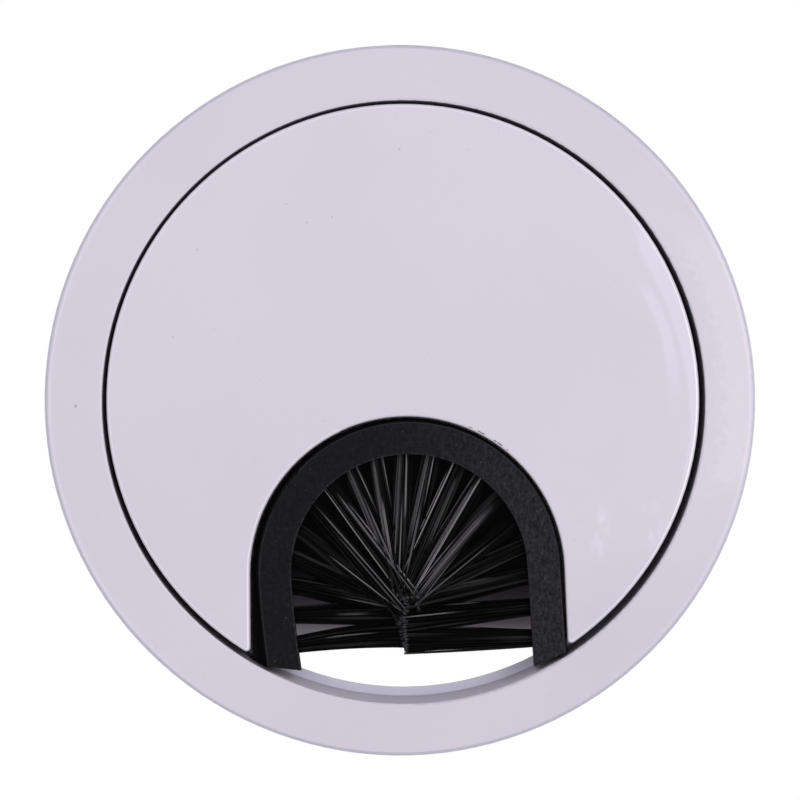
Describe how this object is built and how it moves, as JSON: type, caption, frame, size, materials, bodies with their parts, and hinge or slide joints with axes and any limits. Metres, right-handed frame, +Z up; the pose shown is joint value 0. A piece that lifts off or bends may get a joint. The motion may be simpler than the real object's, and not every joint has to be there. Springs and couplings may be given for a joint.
{
  "type": "cable grommet",
  "caption": "Round desk cable grommet: painted metal ring and lift-out lid with a U-shaped cable notch lined by a black brush strip.",
  "frame": {"origin": "on the ring's axis, in the plane of the desk top that the underside of the flange lies on", "axes": "+Z up to the visible face, along the axis of ring and sleeve; the cable notch in the lid opens toward -Y"},
  "size_m": [0.09, 0.09, 0.0202],
  "materials": {
    "off_white_paint": "gloss paint on die-cast metal",
    "black_strip": "fine matte grain",
    "black_bristle": "smooth drawn filament",
    "anchor_wire": "drawn flat wire"
  },
  "bodies": {
    "root": {"ring": "off_white_paint", "lid": "off_white_paint", "brush_strip": "black_strip", "anchor_wires": "anchor_wire", "bristle_tuft_01": "black_bristle", "bristle_tuft_02": "black_bristle", "bristle_tuft_03": "black_bristle", "bristle_tuft_04": "black_bristle", "bristle_tuft_05": "black_bristle", "bristle_tuft_06": "black_bristle", "bristle_tuft_07": "black_bristle", "bristle_tuft_08": "black_bristle", "bristle_tuft_09": "black_bristle", "bristle_tuft_10": "black_bristle", "bristle_tuft_11": "black_bristle", "bristle_tuft_12": "black_bristle", "bristle_tuft_13": "black_bristle", "bristle_tuft_14": "black_bristle", "bristle_tuft_15": "black_bristle", "bristle_tuft_16": "black_bristle", "bristle_tuft_17": "black_bristle", "bristle_tuft_18": "black_bristle", "bristle_tuft_19": "black_bristle"}
  },
  "joints": []
}
